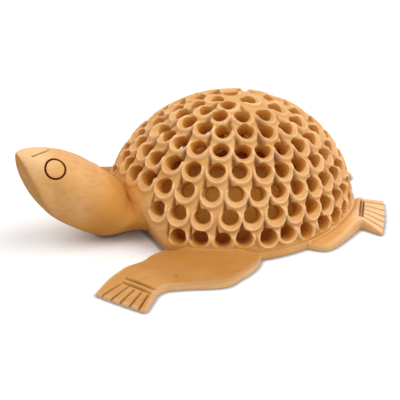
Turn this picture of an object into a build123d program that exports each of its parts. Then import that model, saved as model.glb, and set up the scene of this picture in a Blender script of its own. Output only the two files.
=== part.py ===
# Carved wooden turtle with a hollow, pierced lattice shell.
# The origin is on the ground under the middle of the shell. The head points to -Y,
# the turtle's left side is +X and +Z is up.
from build123d import *
from math import atan2, cos, degrees, pi, radians, sin, sqrt, tan
import os

os.makedirs("parts", exist_ok=True)

# Shell: an egg-shaped dome, round from side to side, flat underneath
shell_radius = 49 * MM
shell_half_length = 53 * MM
shell_wall = 6.5 * MM
belly_thickness = 3.5 * MM

# Chest: the flat face under the neck, which leans out as it rises
chest_setback = 40.5 * MM
chest_lean = 24

# Glue lines and fits between the glued pieces
glue_gap = 0.15 * MM
joint_fit = 0.1 * MM
overrun = 2 * MM

# Register: the raised step on the belly plate that centres the shell
register_height = 1.5 * MM
register_fit = 0.2 * MM

# Lattice: rows of windows round the dome, which rise a little at the front and dip at the rear,
# and less within the cap round the crown
window_pitch = 8.7 * MM
row_pitch = 9.2 * MM
first_row_height = 9.6 * MM
front_rise = 4
full_rise_height = 60
rear_dip = 5.5
full_dip_bearing = 140
crown_cap = 20
first_row_turn_share = 0.2
closing_turn_share = 0.75
easing_steps = 8
rim_band = 1.4 * MM
window_width = 5 * MM
window_height = 5.2 * MM
scoop_flare = 1.3 * MM
scoop_drop = 0.5 * MM
collar_bearing = 40
collar_height = 20.5 * MM
window_shares = [(0, 0.5), (0.46, 0.2), (0.4, -0.34), (0, -0.5), (-0.4, -0.34), (-0.46, 0.2)]

# Head and neck: one straight tapering form that rises from the chest
neck_rise = 43
neck_setback = 54.4 * MM
neck_height = 9.4 * MM
neck_root_setback = 36 * MM
neck_root_height = 10.4 * MM
head_length = 49 * MM
head_half_height = 12.8 * MM
head_half_width = 12.3 * MM
neck_root_half_height = 8 * MM
neck_root_half_width = 14 * MM
neck_root_rise = 8
# Along the head, then half height and half width at that place
head_shares = [
    (0, 0.74, 1.08),
    (0.2, 0.96, 1.01),
    (0.42, 1, 1),
    (0.6, 0.9, 0.92),
    (0.74, 0.73, 0.77),
    (0.88, 0.45, 0.52),
    (1, 0.1, 0.16),
]
# Half of a cross-section of the head, from the jaw corner up to the crown
cheek_shares = [(0.55, -0.78), (0.88, -0.36), (1, 0.08), (0.82, 0.6), (0.44, 0.9), (0, 1)]
dowel_radius = 4 * MM
dowel_height = 12 * MM

# Eyes: an engraved ring on each cheek
eye_row = 4
eye_turn = 28
eye_lean = 23
eye_radius = 4 * MM
eye_line_width = 0.7 * MM
eye_line_depth = 0.9 * MM

# Legs: flat paddles that lie on the ground, each with a tenon in the belly plate
tenon_width = 12 * MM
tenon_thickness = 1.8 * MM
tenon_length = 7 * MM
tenon_height = 0.8 * MM
toe_thickness = 1.5 * MM
toe_bulge = 0.4 * MM

# Feet: two grooves across the wrist, then grooves between the toes
toe_groove_width = 0.7 * MM
toe_groove_depth = 0.5 * MM
toe_groove_start_share = 0.2
toe_groove_shares = [-0.38, -0.19, 0, 0.19, 0.38]
cross_groove_shares = [0.04, 0.16]
cross_groove_width_share = 0.76

# Front legs, by bearing from straight ahead round to the side. The left one points ahead
front_root_inner = 36
front_root_outer = 79
front_root_rise = 3.3 * MM
front_elbow_bearing = 65
front_elbow_reach = 17.5 * MM
front_elbow_rise = 3.4 * MM
front_wrist_bearing = 40
front_wrist_reach = 22 * MM
front_wrist_width = 16.5 * MM
front_wrist_outer_rise = 3.2 * MM
front_wrist_inner_rise = 4.5 * MM
front_foot_bearing = 30
front_foot_length = 16.8 * MM
front_toe_width = 23 * MM

# The right front leg points more to the side, with a straighter elbow
right_elbow_bearing = 66
right_elbow_reach = 6.5 * MM
right_wrist_bearing = 50
right_foot_bearing = 47

# Rear legs, by the same bearings
rear_root_inner = 150
rear_root_outer = 101
rear_root_rise = 3.6 * MM
rear_elbow_bearing = 107
rear_elbow_reach = 6.7 * MM
rear_elbow_rise = 3.6 * MM
rear_wrist_bearing = 139
rear_wrist_reach = 3.5 * MM
rear_wrist_width = 20 * MM
rear_wrist_outer_rise = 5 * MM
rear_wrist_inner_rise = 4.2 * MM
rear_foot_bearing = 146
rear_foot_length = 9.4 * MM
rear_toe_width = 28 * MM

# Tail: a short pointed stub that comes down to the ground
tail_length = 7 * MM
tail_half_width = 5 * MM
tail_half_height = 2 * MM
tail_height = 2.4 * MM
# Along the tail, then half width, half height and height of the middle at that place
tail_shares = [(-0.3, 1, 1, 1), (0.5, 0.7, 0.8, 0.84), (1, 0.2, 0.3, 0.5)]
tail_peg_radius = 1.2 * MM
tail_peg_length = 5 * MM


# The whole turtle body as one solid block: every piece that meets the shell is cut by it
def body_block(radius, half_length, setback, base):
    with BuildPart() as block:
        with BuildSketch(Plane.XY):
            Ellipse(radius, half_length)
            split(bisect_by=Plane.YZ, keep=Keep.TOP)
        revolve(axis=Axis.Y)
        split(bisect_by=Plane.XY.offset(base), keep=Keep.TOP)
        split(bisect_by=Plane(origin=(0, -setback, 0), z_dir=(0, 1, tan(radians(chest_lean)))), keep=Keep.TOP)
    return block.part


outer_block = body_block(shell_radius, shell_half_length, chest_setback, 0)
seat_block = body_block(shell_radius + glue_gap, shell_half_length + glue_gap, chest_setback + glue_gap, -overrun)
hollow_block = body_block(
    shell_radius - shell_wall, shell_half_length - shell_wall, chest_setback - shell_wall, belly_thickness
)
register_block = body_block(
    shell_radius - shell_wall - register_fit,
    shell_half_length - shell_wall - register_fit,
    chest_setback - shell_wall - register_fit,
    0,
)


# A point of the shell's rim at a bearing from straight ahead. Side is 1 on the turtle's left, -1 on its right
def rim_point(bearing, side=1, inset=0):
    turn = radians(bearing)
    return Vector(side * (shell_radius - inset) * sin(turn), -(shell_half_length - inset) * cos(turn), 0)


# A point of the dome and the direction square to it, for a window of a row so far down from the crown
def dome_seat(drop, turn):
    calm = min(1, drop / radians(crown_cap))
    rise = calm * radians(front_rise) * max(0, cos(turn)) * min(1, (pi / 2 - drop) / radians(full_rise_height))
    dip = calm * radians(rear_dip) * min(1, max(0, cos(turn) / cos(radians(full_dip_bearing))))
    lowest = (belly_thickness + rim_band + window_height / 2) / shell_radius
    up = max(cos(drop - rise + dip), lowest)
    level = sqrt(1 - up**2)
    across, ahead = level * sin(turn), -level * cos(turn)
    place = Vector(across * shell_radius, ahead * shell_half_length, up * shell_radius)
    outward = Vector(across / shell_radius, ahead / shell_half_length, up / shell_radius)
    return Plane(origin=place, x_dir=Vector(0, 0, 1).cross(outward), z_dir=outward)


# The turns of a row's windows: each over the rib between two of the row below, where a rib closes
# the gap is shared out, so that the row stays even
def row_turns(below, count):
    ribs = [(turn + after) / 2 for turn, after in zip(below, below[1:] + [below[0] + 2 * pi])]
    turns = [ribs[int((index + closing_turn_share) * len(ribs) / count)] for index in range(count)]
    for step in range(easing_steps):
        before = [turns[-1] - 2 * pi] + turns[:-1]
        after = turns[1:] + [turns[0] + 2 * pi]
        turns = [(first + 2 * turn + last) / 4 for first, turn, last in zip(before, turns, after)]
    return turns


mean_radius = (shell_radius + shell_half_length) / 2
row_step = row_pitch / mean_radius
first_drop = pi / 2 - first_row_height / mean_radius
window_seats = []
turns = []
for row in range(int(first_drop / row_step) + 1):
    drop = first_drop - row * row_step
    count = max(1, round(2 * pi * mean_radius * sin(drop) / window_pitch))
    if turns:
        turns = row_turns(turns, count)
    else:
        turns = [2 * pi * (index + first_row_turn_share) / count for index in range(count)]
    for turn in turns:
        seat = dome_seat(drop, turn)
        bearing = degrees(atan2(seat.origin.X, -seat.origin.Y))
        if (bearing / collar_bearing) ** 2 + (seat.origin.Z / collar_height) ** 2 > 1:
            window_seats.append(seat)
print("windows", len(window_seats))


# One window: narrow at the inside, flared and dropped at the outside like a gouged scoop
with BuildPart() as window:
    for depth, flare, drop in ((overrun, scoop_flare, scoop_drop), (-shell_wall - overrun, 0, 0)):
        with BuildSketch(Plane.XY.offset(depth)):
            wide, tall = window_width + flare, window_height + flare * window_height / window_width
            Polygon(*[(x * wide, y * tall - drop) for x, y in window_shares], align=None)
    loft(ruled=True)

chest_plane = Plane(origin=(0, -chest_setback, 0), z_dir=(0, 1, tan(radians(chest_lean))))
dowel_seat = Plane(
    origin=(0, -chest_setback - dowel_height * tan(radians(chest_lean)), dowel_height), z_dir=chest_plane.z_dir
)

with BuildPart() as shell:
    add(outer_block)
    split(bisect_by=Plane.XY.offset(belly_thickness), keep=Keep.TOP)
    add(hollow_block, mode=Mode.SUBTRACT)
    with Locations(dowel_seat):
        Cylinder(dowel_radius + joint_fit, 2 * shell_wall, mode=Mode.SUBTRACT)
    with Locations(*window_seats):
        add(window.part, mode=Mode.SUBTRACT)
shell.part.label = "shell"
export_step(shell.part, "parts/shell.step")


# The seat of a leg's tenon: on the rim, with X pointing in under the shell
def tenon_seat(root_inner, root_outer, side):
    place = rim_point((root_inner + root_outer) / 2, side)
    return Plane(origin=place + Vector(0, 0, tenon_height), x_dir=-place, z_dir=(0, 0, 1))


tenon_seats = [
    tenon_seat(inner, outer, side)
    for inner, outer in ((front_root_inner, front_root_outer), (rear_root_inner, rear_root_outer))
    for side in (1, -1)
]
tail_seat = Plane(origin=(0, shell_half_length, belly_thickness / 2), x_dir=(-1, 0, 0), z_dir=(0, 1, 0))

with BuildPart() as belly_plate:
    add(outer_block)
    split(bisect_by=Plane.XY.offset(belly_thickness), keep=Keep.BOTTOM)
    add(register_block)
    split(bisect_by=Plane.XY.offset(belly_thickness + register_height), keep=Keep.BOTTOM)
    with Locations(*[seat.offset(-joint_fit) for seat in tenon_seats]):
        Box(
            2 * (tenon_length + joint_fit),
            tenon_width + 2 * joint_fit,
            tenon_thickness + 2 * joint_fit,
            align=(Align.CENTER, Align.CENTER, Align.MIN),
            mode=Mode.SUBTRACT,
        )
    with Locations(tail_seat):
        Cylinder(tail_peg_radius + joint_fit, 2 * (tail_peg_length + joint_fit), mode=Mode.SUBTRACT)
belly_plate.part.label = "belly_plate"
export_step(belly_plate.part, "parts/belly_plate.step")


# A cross-section of the head on a plane across it
def head_section(plane, half_width, half_height):
    right = [(x * half_width, y * half_height) for x, y in cheek_shares]
    left = [(-x, y) for x, y in reversed(right[:-1])]
    with BuildSketch(plane) as section:
        with BuildLine():
            Spline(*right, *left)
            ThreePointArc(left[-1], (0, -half_height), right[0])
        make_face()
    return section.sketch


def rising_plane(setback, height, rise):
    turn = radians(rise)
    return Plane(origin=(0, -setback, height), x_dir=(1, 0, 0), z_dir=(0, -cos(turn), sin(turn)))


sections = [head_section(rising_plane(neck_root_setback, neck_root_height, neck_root_rise),
                         neck_root_half_width, neck_root_half_height)]
for along, tall, wide in head_shares:
    plane = rising_plane(neck_setback, neck_height, neck_rise).offset(along * head_length)
    sections.append(head_section(plane, wide * head_half_width, tall * head_half_height))

# The seat of an eye ring, square to the cheek at the eyes' own row of the head
def eye_seat(side):
    along, tall, wide = head_shares[eye_row]
    plane = rising_plane(neck_setback, neck_height, neck_rise).offset(along * head_length)
    across = plane.x_dir * side * cos(radians(eye_turn))
    upward = plane.y_dir * sin(radians(eye_turn))
    place = plane.origin + across * wide * head_half_width + upward * tall * head_half_height
    return Plane(origin=place, z_dir=across + upward + plane.z_dir * tan(radians(eye_lean)))


with BuildPart() as eye_ring:
    with BuildSketch(Plane.XY.offset(-eye_line_depth)):
        Circle(eye_radius)
        Circle(eye_radius - eye_line_width, mode=Mode.SUBTRACT)
    extrude(amount=eye_line_depth + overrun)

with BuildPart() as head:
    loft(sections)
    add(seat_block, mode=Mode.SUBTRACT)
    with Locations(eye_seat(1), eye_seat(-1)):
        add(eye_ring.part, mode=Mode.SUBTRACT)
    with Locations(dowel_seat):
        Cylinder(dowel_radius, 2 * (shell_wall * cos(radians(chest_lean)) - joint_fit))
head.part.label = "head"
export_step(head.part, "parts/head.step")


# The level direction of a bearing
def bearing_line(bearing, side):
    return Vector(side * sin(radians(bearing)), -cos(radians(bearing)), 0)


# The plane through three points, facing up
def plane_through(first, second, third):
    upward = (second - first).cross(third - first)
    return Plane(origin=first, x_dir=second - first, z_dir=upward if upward.Z > 0 else -upward)


# A place as a point of a plane's own
def on_plane(plane, place):
    local = plane.to_local_coords(place)
    return (local.X, local.Y)


# A leg: its outline on the ground, its top cut by two slopes, its root cut to the body, then its tenon
def leg(name, side, root, elbow, wrist, foot):
    root_inner, root_outer, root_rise = root
    elbow_bearing, elbow_reach, elbow_rise = elbow
    wrist_bearing, wrist_reach, wrist_width, wrist_outer_rise, wrist_inner_rise = wrist
    foot_bearing, foot_length, toe_width = foot
    ahead = bearing_line(foot_bearing, side)
    outward = ahead.rotate(Axis.Z, side * (90 if foot_bearing < 90 else -90))
    elbow_place = rim_point(elbow_bearing, side) + bearing_line(elbow_bearing, side) * elbow_reach
    wrist_place = rim_point(wrist_bearing, side) + bearing_line(wrist_bearing, side) * wrist_reach
    toe = wrist_place + ahead * foot_length
    wrist_inner, wrist_outer = (wrist_place + outward * share * wrist_width for share in (-0.5, 0.5))
    toe_inner, toe_outer = (toe + outward * share * toe_width for share in (-0.5, 0.5))
    inside_inner, inside_outer = (rim_point(bearing, side, shell_wall) for bearing in (root_inner, root_outer))
    up = Vector(0, 0, 1)
    wrist_edge = (wrist_outer + up * wrist_outer_rise, wrist_inner + up * wrist_inner_rise)
    arm_top = plane_through(
        elbow_place + up * elbow_rise,
        wrist_edge[0],
        rim_point((root_inner + root_outer) / 2, side) + up * root_rise,
    )
    foot_top = plane_through(*wrist_edge, toe + up * toe_thickness)
    grooves = []
    for share in toe_groove_shares:
        first = wrist_place + outward * share * wrist_width + ahead * toe_groove_start_share * foot_length
        grooves.append((first, toe + outward * share * toe_width + ahead * overrun))
    for share in cross_groove_shares:
        middle = wrist_place + ahead * share * foot_length
        half_line = outward * cross_groove_width_share * wrist_width / 2
        grooves.append((middle - half_line, middle + half_line))
    with BuildPart() as paddle:
        with BuildSketch(Plane.XY):
            with BuildLine():
                Polyline(inside_outer, inside_inner, rim_point(root_inner, side), wrist_inner, toe_inner)
                ThreePointArc(toe_inner, toe + ahead * toe_bulge, toe_outer)
                Line(toe_outer, wrist_outer)
                Spline(wrist_outer, elbow_place, rim_point(root_outer, side))
                Line(rim_point(root_outer, side), inside_outer)
            make_face()
        extrude(amount=2 * root_rise)
        split(bisect_by=arm_top, keep=Keep.BOTTOM)
        split(bisect_by=foot_top, keep=Keep.BOTTOM)
        with BuildSketch(foot_top.offset(-toe_groove_depth)):
            with BuildLine():
                for first, last in grooves:
                    Line(on_plane(foot_top, first), on_plane(foot_top, last))
            trace(line_width=toe_groove_width)
        extrude(amount=toe_groove_depth + overrun, mode=Mode.SUBTRACT)
        add(seat_block, mode=Mode.SUBTRACT)
        with Locations(tenon_seat(root_inner, root_outer, side)):
            Box(2 * tenon_length, tenon_width, tenon_thickness, align=(Align.CENTER, Align.CENTER, Align.MIN))
    paddle.part.label = name
    export_step(paddle.part, "parts/" + name + ".step")


front_bends = {
    1: ((front_elbow_bearing, front_elbow_reach), front_wrist_bearing, front_foot_bearing),
    -1: ((right_elbow_bearing, right_elbow_reach), right_wrist_bearing, right_foot_bearing),
}
for side_name, side in (("left", 1), ("right", -1)):
    elbow_bend, wrist_bend, foot_bend = front_bends[side]
    leg(
        "front_" + side_name + "_leg",
        side,
        (front_root_inner, front_root_outer, front_root_rise),
        (*elbow_bend, front_elbow_rise),
        (wrist_bend, front_wrist_reach, front_wrist_width, front_wrist_outer_rise, front_wrist_inner_rise),
        (foot_bend, front_foot_length, front_toe_width),
    )
    leg(
        "rear_" + side_name + "_leg",
        side,
        (rear_root_inner, rear_root_outer, rear_root_rise),
        (rear_elbow_bearing, rear_elbow_reach, rear_elbow_rise),
        (rear_wrist_bearing, rear_wrist_reach, rear_wrist_width, rear_wrist_outer_rise, rear_wrist_inner_rise),
        (rear_foot_bearing, rear_foot_length, rear_toe_width),
    )

with BuildPart() as tail:
    for along, wide, tall, middle in tail_shares:
        place = Vector(0, shell_half_length + along * tail_length, middle * tail_height)
        with BuildSketch(Plane(origin=place, x_dir=(-1, 0, 0), z_dir=(0, 1, 0))):
            Ellipse(wide * tail_half_width, tall * tail_half_height)
    loft()
    add(seat_block, mode=Mode.SUBTRACT)
    with Locations(tail_seat):
        Cylinder(tail_peg_radius, tail_peg_length, align=(Align.CENTER, Align.CENTER, Align.MAX))
        Cylinder(tail_peg_radius, tail_length / 2, align=(Align.CENTER, Align.CENTER, Align.MIN))
tail.part.label = "tail"
export_step(tail.part, "parts/tail.step")
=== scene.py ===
from math import acos, atan2, cos, degrees, pi, radians, sin, sqrt, tan

import bpy
import numpy as np
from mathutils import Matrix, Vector, geometry, noise
from numpy.linalg import norm


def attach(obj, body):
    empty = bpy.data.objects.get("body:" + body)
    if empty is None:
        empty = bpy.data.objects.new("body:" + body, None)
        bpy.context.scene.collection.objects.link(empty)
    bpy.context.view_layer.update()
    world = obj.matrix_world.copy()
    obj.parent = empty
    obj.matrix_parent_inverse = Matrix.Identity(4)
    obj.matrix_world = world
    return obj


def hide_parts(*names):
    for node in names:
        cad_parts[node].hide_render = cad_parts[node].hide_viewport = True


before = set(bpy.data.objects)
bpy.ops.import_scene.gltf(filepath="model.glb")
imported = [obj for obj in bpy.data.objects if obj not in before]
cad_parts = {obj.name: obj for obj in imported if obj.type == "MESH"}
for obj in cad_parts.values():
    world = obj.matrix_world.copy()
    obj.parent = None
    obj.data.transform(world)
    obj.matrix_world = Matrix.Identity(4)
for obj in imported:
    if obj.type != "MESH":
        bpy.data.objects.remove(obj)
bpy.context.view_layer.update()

mm = 0.001
scene = bpy.context.scene
dice = np.random.RandomState(11)  # the carver's hand: every small irregularity comes from here
print("frame loaded:", ", ".join(sorted(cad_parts)))


# Small helpers

def hexToLinear(hexColour):
    parts = [int(hexColour[i:i + 2], 16) / 255 for i in (0, 2, 4)]
    return [p / 12.92 if p <= 0.04045 else ((p + 0.055) / 1.055) ** 2.4 for p in parts] + [1]


def addNode(tree, kind, inputs=None, links=None, **settings):
    # a link comes from a socket, or from a node's first output
    node = tree.nodes.new("ShaderNode" + kind)
    for key, value in settings.items():
        setattr(node, key, value)
    for key, value in (inputs or {}).items():
        node.inputs[key].default_value = value
    for key, source in (links or {}).items():
        tree.links.new(getattr(source, "outputs", [source])[0], node.inputs[key])
    return node


def emptyMaterial(name):
    material = bpy.data.materials.new(name)
    material.use_nodes = True
    material.node_tree.nodes.clear()
    return material, material.node_tree


def addObject(name, data):
    thing = bpy.data.objects.new(name, data)
    scene.collection.objects.link(thing)
    return thing


def makePiece(name, nodes, places, faces, cut, material, creaseAngle, raw=None, paintedHighlight=None):
    # places in mm; the dark tone is painted shade in grooves, in the hollow, under the lips and on chin, neck and
    # legs, and also knot and rim-band brown; raw is 1 where the wood was left bare; the pale tone is a painted
    # highlight
    mesh = bpy.data.meshes.new(name)
    mesh.from_pydata((np.asarray(places) * mm).tolist(), [], [tuple(int(v) for v in face) for face in faces])
    for label, values in (("cut", cut), ("raw", raw), ("paintedHighlight", paintedHighlight)):
        values = np.zeros(len(places)) if values is None else values
        mesh.attributes.new(label, "FLOAT", "POINT").data.foreach_set("value", np.asarray(values, np.float32))
    mesh.update()
    mesh.shade_smooth()
    mesh.set_sharp_from_angle(angle=radians(creaseAngle))
    mesh.materials.append(material)
    piece = addObject(name, mesh)
    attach(piece, "root")
    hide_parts(*nodes)
    print(name, len(mesh.vertices), "vertices", len(mesh.polygons), "faces")


def smoothStep(low, high, value):
    t = np.clip((value - low) / (high - low), 0, 1)
    return t * t * (3 - 2 * t)


def smoothMax(first, second, soft):
    return (first + second + np.sqrt((first - second) ** 2 + soft ** 2)) / 2


def unit(vector):
    return vector / norm(vector)


def fullTurn(steps):
    # even angles once round
    return np.arange(steps) * 2 * pi / steps


def stitch(rows, flip=False):
    # quads between rows of vertex numbers that each close on themselves
    faces = []
    for upper, lower in zip(rows[:-1], rows[1:]):
        for i in range(len(upper)):
            j = (i + 1) % len(upper)
            quad = (upper[i], upper[j], lower[j], lower[i])
            faces.append(quad[::-1] if flip else quad)
    return faces


# Wood: kadam, a pale close-grained carving wood, knife-carved, sanded and lightly waxed.
# The eye sees honey wood with a faint fibre and a soft waxy shine; painted shade browns the knife cuts and shaded
# parts, and a painted highlight pales the crests and edges.

woodLook = {
    "pale": "E3AD6C",      # planed and sanded faces
    "warm": "CF9148",      # slow blotches where the wax sank in
    "fibre": "B88048",     # late-wood fibres
    "paintedHighlight": "FBD3A4",      # painted highlight on lip crests, leg edges and sides, the snout and the rear feet
    "cutBrown": "622C08",  # painted shade in cuts, grooves, the hollow, under the lips and on chin, neck and legs; also knot and rim-band brown
    "raw": "DE983E",       # bare wood on the walls of the holes and inside the hollow
    "rawDeep": "A8641E",   # torn grain in it
    "fibreStretch": 14,    # fibres run along the body, many times longer than wide
    "grainTilt": (0.05, 0, 0.08),
    "roughness": 0.46, "smoother": 0.06, "rougher": 0.1,
    "ior": 1.5,
    "waxGloss": 0.28, "bareGloss": 0.02, "dullAt": 0.3, "bareSharp": 3,
    "bump": 0.4, "bumpDepth": 0.16, "fibreRelief": 0.5,
    # each pattern's real size in mm, then its detail, roughness and distortion
    "patterns": {
        "fibre": (1.4, 4, 0.6, 0.3),   # two fibres of 0.7 mm, coarser than real ones so that they show
        "blotch": (16, 3, 0.55, 0),
        "torn": (0.9, 3, 0.65, 0),     # spots torn by the gouge
        "marks": (2.2, 2, 0.5, 0),     # between the shallow marks of the scraper
    },
    # the pattern's values between which it comes in, and how far
    "shares": {"blotch": (0.35, 0.68, 0.75), "fibre": (0.48, 0.78, 0.5), "torn": (0.42, 0.66, 0.7)},
}


def carvedWood(name, look):
    material, tree = emptyMaterial(name)
    place = addNode(tree, "TexCoord").outputs["Object"]
    alongGrain = addNode(tree, "Mapping", inputs={
        "Scale": (1, 1 / look["fibreStretch"], 1), "Rotation": look["grainTilt"]}, links={"Vector": place})
    pattern, share = {}, {}
    for label, (size, detail, roughness, distortion) in look["patterns"].items():
        pattern[label] = addNode(tree, "TexNoise", inputs={
            "Scale": 1 / (size * mm), "Detail": detail, "Roughness": roughness, "Distortion": distortion},
            links={"Vector": alongGrain if label == "fibre" else place})
    for label, (low, high, most) in look["shares"].items():
        share[label] = addNode(tree, "MapRange", inputs={
            "From Min": low, "From Max": high, "To Min": 0, "To Max": most}, links={"Value": pattern[label]})
    for label in ("paintedHighlight", "raw", "cut"):
        share[label] = addNode(tree, "Attribute", attribute_name=label).outputs["Fac"]
    # torn grain only where the wood is wholly bare
    bareOnly = addNode(tree, "Math", operation="POWER", inputs={1: look["bareSharp"]}, links={0: share["raw"]})
    tornBare = addNode(tree, "Math", operation="MULTIPLY", links={0: bareOnly, 1: share["torn"]})
    rawTone = addNode(tree, "Mix", data_type="RGBA", inputs={
        6: hexToLinear(look["raw"]), 7: hexToLinear(look["rawDeep"])}, links={"Factor": tornBare}).outputs[2]
    # the tones lie over each other: wax blotches, fibres, painted highlight, bare wood, painted shade with dark marks
    layers = {"blotch": "warm", "fibre": "fibre", "paintedHighlight": "paintedHighlight", "raw": "raw", "cut": "cutBrown"}
    tone = None
    for label, colour in layers.items():
        links = {"Factor": share[label]}
        if tone:
            links[6] = tone
        if label == "raw":
            links[7] = rawTone
        tone = addNode(tree, "Mix", data_type="RGBA", inputs={
            6: hexToLinear(look["pale"]), 7: hexToLinear(look[colour])}, links=links).outputs[2]
    shine = addNode(tree, "MapRange", inputs={
        "From Min": 0.3, "From Max": 0.7, "To Min": look["roughness"] - look["smoother"],
        "To Max": look["roughness"] + look["rougher"]}, links={"Value": pattern["blotch"]})
    tornRelief = addNode(tree, "Math", operation="MULTIPLY_ADD",
                         links={0: pattern["torn"], 1: bareOnly, 2: pattern["marks"]})
    relief = addNode(tree, "Math", operation="MULTIPLY_ADD", inputs={1: look["fibreRelief"]},
                     links={0: pattern["fibre"], 2: tornRelief})
    # only the waxed skin shines: the painted shade, the dark marks and bare wood are dull
    dull = addNode(tree, "Math", operation="MAXIMUM", links={0: share["raw"], 1: share["cut"]})
    gloss = addNode(tree, "MapRange", inputs={
        "From Max": look["dullAt"], "To Min": look["waxGloss"], "To Max": look["bareGloss"]}, links={"Value": dull})
    bump = addNode(tree, "Bump", inputs={"Strength": look["bump"], "Distance": look["bumpDepth"] * mm},
                   links={"Height": relief})
    shader = addNode(tree, "BsdfPrincipled", inputs={"IOR": look["ior"], "Metallic": 0}, links={
        "Base Color": tone, "Roughness": shine, "Normal": bump, "Specular IOR Level": gloss})
    addNode(tree, "OutputMaterial", links={"Surface": shader})
    return material


kadam = carvedWood("waxedKadamWood", woodLook)
print("wood ready")


# Shell: the pierced dome

dome = {
    "radius": 49, "halfLength": 53, "wall": 6.5, "rim": 3.5,
    "chestSetback": 40.5, "chestLean": 24, "chestSoft": 1.6,
    "windowPitch": 8.7, "rowPitch": 9.2, "firstRow": 9.6,
    "frontRise": 4, "fullRise": 60, "rearDip": 5.5, "fullDip": 140, "crownCap": 20,
    "rimBand": 1.4, "windowHeight": 5.2,
    "firstTurn": 0.2, "closingTurn": 0.75, "easing": 8, "collarBearing": 40, "collarHeight": 20.5,
    "holeWide": 3.45, "holeTall": 3.25,   # half sizes of a hole at the surface
    "scoopWide": 4.15, "scoopTop": 3.35, "scoopBottom": 5.4, "scoopDeep": 4.2,
    "firstBottom": 4.2,                   # the lowest row's scoops are shorter
    "lipStep": 1.5,                       # how far a lip stands over the wood below it
    "lipRun": 0.55,                       # how far its outer face runs out
    "grooveDeep": 2.2, "grooveWide": 0.9,
    "grooveShallow": 1.1, "grooveNarrow": 0.32,  # at its upper end
    "ribShare": 1.16,                     # least distance of two holes, in shares of their touching distance
    "seatWobble": 0.3,                    # mm, how far a window is out of its place
    "holeUneven": 0.035, "scoopUneven": 0.02, "bottomUneven": 0.2, "leanUneven": 0.25,
    "rimMargin": 0.5, "plateMargin": 0.4,  # least wood under a window, outside and inside
    "innerWide": 0.84, "innerTall": 0.9,  # a hole's size at the inside of the wall
    "cutReach": 13, "cutLeast": 2,        # mm, no cut between windows farther apart, nor a shorter one
    "crownCalm": 0.4, "collarCalm": 0.8, "collarRaw": 0.5, "legRaw": 0.4,
    "crestHighlight": 0.75, "grooveShade": 0.6, "underLipShade": 0.16, "rimTone": 0.33, "hollowShade": 0.05,
    "ringSteps": 32, "rimSteps": 288, "outerSpacing": 1.25, "innerSpacing": 1.9, "creaseAngle": 60,
}
tanLean = tan(radians(dome["chestLean"]))
domeHalf = np.array([dome["radius"], dome["halfLength"], dome["radius"]], float)
hollowHalf = domeHalf - dome["wall"]
meanRadius = (dome["radius"] + dome["halfLength"]) / 2


def rowTurns(below, count):
    ribs = [(turn + after) / 2 for turn, after in zip(below, below[1:] + [below[0] + 2 * pi])]
    turns = [ribs[int((index + dome["closingTurn"]) * len(ribs) / count)] for index in range(count)]
    for _ in range(dome["easing"]):
        before = [turns[-1] - 2 * pi] + turns[:-1]
        after = turns[1:] + [turns[0] + 2 * pi]
        turns = [(a + 2 * b + c) / 4 for a, b, c in zip(before, turns, after)]
    return turns


def windowSeats():
    seats = []
    rowStep = dome["rowPitch"] / meanRadius
    firstDrop = pi / 2 - dome["firstRow"] / meanRadius
    lowest = (dome["rim"] + dome["rimBand"] + dome["windowHeight"] / 2) / dome["radius"]
    turns = []
    for row in range(int(firstDrop / rowStep) + 1):
        drop = firstDrop - row * rowStep
        count = max(1, round(2 * pi * meanRadius * sin(drop) / dome["windowPitch"]))
        if turns:
            turns = rowTurns(turns, count)
        else:
            turns = [2 * pi * (i + dome["firstTurn"]) / count for i in range(count)]
        for turn in turns:
            calm = min(1, drop / radians(dome["crownCap"]))
            ahead = cos(turn)
            rise = calm * radians(dome["frontRise"]) * max(0, ahead)
            rise *= min(1, (pi / 2 - drop) / radians(dome["fullRise"]))
            dip = min(1, max(0, ahead / cos(radians(dome["fullDip"]))))
            dip = calm * radians(dome["rearDip"]) * dip
            wobble = dice.normal(0, dome["seatWobble"], 2) / meanRadius
            up = max(cos(drop - rise + dip + wobble[0]), lowest)
            level = sqrt(1 - up * up)
            turned = turn + wobble[1] / max(0.4, sin(drop))
            n = np.array([level * sin(turned), -level * cos(turned), up])
            place = n * domeHalf
            bearing = degrees(atan2(place[0], -place[1]))
            if (bearing / dome["collarBearing"]) ** 2 + (place[2] / dome["collarHeight"]) ** 2 > 1:
                out = unit(n / domeHalf)
                side = unit(np.cross([0, 0, 1], out))
                seats.append((row, place, out, side, np.cross(out, side)))
    return seats


seatRow, seatPlace, seatOut, seatSide, seatUp = (np.array(part) for part in zip(*windowSeats()))
seatCount = len(seatRow)


def unevenSizes(size, spread):
    return dome[size] * (1 + dice.normal(0, dome[spread], seatCount))


holeWide = unevenSizes("holeWide", "holeUneven")
holeTall = unevenSizes("holeTall", "holeUneven")
for i in range(seatCount):
    # where two windows come close both are cut smaller, so that a rib stays between them
    apart = seatPlace - seatPlace[i]
    near = np.hypot(apart @ seatSide[i] / (holeWide + holeWide[i]), apart @ seatUp[i] / (holeTall + holeTall[i]))
    near[i] = 9  # not its own neighbour
    crowd = min(1, near.min() / dome["ribShare"])
    holeWide[i] *= crowd
    holeTall[i] *= crowd
room = seatPlace[:, 2] - dome["rim"] - dome["rimMargin"]
holeTall = np.minimum(holeTall, room)
# on the inside of the wall the lowest windows stop just above the belly plate
roomBelow = seatPlace[:, 2] - seatOut[:, 2] * dome["wall"] - dome["rim"] - dome["plateMargin"]
scoopWide = unevenSizes("scoopWide", "scoopUneven")
scoopBottom = np.where(seatRow == 0, dome["firstBottom"], dome["scoopBottom"])
scoopBottom = np.minimum(scoopBottom + dice.normal(0, dome["bottomUneven"], seatCount), room)
scoopTall = (scoopBottom + dome["scoopTop"]) / 2
scoopShift = (scoopBottom - dome["scoopTop"]) / 2
scoopLean = dice.normal(0, dome["leanUneven"], seatCount)
print("windows", seatCount)


def leanAt(lean, y):
    # how far a scoop leans aside at a height y over its hole's middle
    return lean * np.clip(-y, 0, 6) / 5.4


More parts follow.
